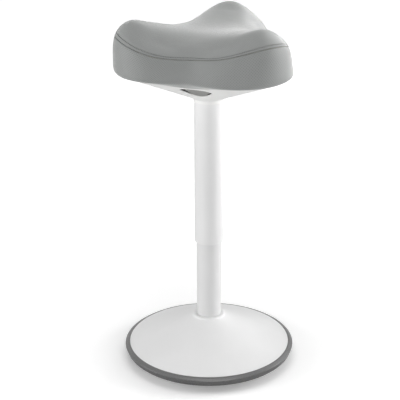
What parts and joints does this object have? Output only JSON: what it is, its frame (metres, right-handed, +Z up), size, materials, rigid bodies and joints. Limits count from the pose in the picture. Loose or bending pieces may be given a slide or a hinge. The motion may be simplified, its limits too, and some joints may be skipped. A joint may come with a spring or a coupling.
{
  "type": "saddle stool",
  "caption": "Height-adjustable saddle stool: lobed padded seat on a telescoping gas-lift column over a round rocking base with a rubber rim.",
  "frame": {"origin": "on the floor, at the middle of the flat sole, on the column's axis", "axes": "+Z up the column; -Y towards the release paddle at the front of the seat; +X to the right of a viewer who faces the paddle"},
  "size_m": [0.351, 0.3607, 0.72],
  "materials": {
    "white_cover": "satin moulded white plastic",
    "white_steel": "satin white powder coat",
    "white_pan": "moulded white plastic",
    "rubber": "soft dark grey rubber",
    "nylon": "black glass-filled nylon",
    "iron": "rough cast, painted",
    "steel": "zinc plated",
    "lift_steel": "ground and plated",
    "dark_steel": "black powder coat",
    "brass": "machined",
    "plywood": "bare birch plywood",
    "foam": "moulded seat foam",
    "cloth_top": "fine grey mesh cloth",
    "cloth_side": "coarser grey mesh cloth",
    "seam": "dark grey double-stitched seam",
    "paddle": "grey moulded plastic"
  },
  "bodies": {
    "base": {"base_cover": "white_cover", "rim_ring": "rubber", "base_dish": "nylon", "rubber_sole": "rubber", "ballast_disc": "iron", "column_flange": "dark_steel", "flange_bolts": "steel", "flange_washers": "steel", "cover_screws": "steel", "lower_tube": "white_steel", "tube_end_disc": "steel", "lower_race": "steel", "ball_cage": "brass", "bearing_balls": "lift_steel", "guide_bush": "nylon"},
    "spindle": {"upper_race": "steel", "bump_buffer": "rubber", "piston_rod": "lift_steel", "rod_clip": "dark_steel", "piston": "brass", "piston_ring": "rubber"},
    "seat": {"gas_cylinder": "lift_steel", "rod_guide": "brass", "rod_seal": "rubber", "valve_body": "brass", "upper_sleeve": "white_steel", "sleeve_glide": "nylon", "sleeve_collar": "nylon", "seat_bracket": "dark_steel", "bracket_bolts": "steel", "bracket_washers": "steel", "tee_nuts": "steel", "seat_board": "plywood", "seat_foam": "foam", "top_panel": "cloth_top", "side_band": "cloth_side", "seam_welt": "seam", "cover_staples": "steel", "under_pan": "white_pan", "lever_pin": "steel", "pin_clips": "dark_steel"},
    "lever": {"release_lever": "dark_steel", "lever_paddle": "paddle", "paddle_rivets": "steel"},
    "valve": {"valve_pin": "steel"}
  },
  "joints": [
    {"name": "swivel", "type": "hinge", "parent": "base", "child": "spindle", "pos_m": [0, 0, 0.041], "axis": [0, 0, 1], "continuous": true},
    {"name": "height", "type": "slide", "parent": "spindle", "child": "seat", "axis": [0, 0, 1], "range_m": [-0.155, 0.045]},
    {"name": "release", "type": "hinge", "parent": "seat", "child": "lever", "pos_m": [0, -0.03, 0.604], "axis": [-1, 0, 0], "range_deg": [0, 6], "stiffness_Nm_per_rad": 4, "springref_deg": -14.32},
    {"name": "valve", "type": "slide", "parent": "seat", "child": "valve", "axis": [0, 0, -1], "range_m": [0, 0.0033]}
  ],
  "couplings": [
    {"joint": "valve", "follows": "release", "m_per_rad": 0.03}
  ]
}
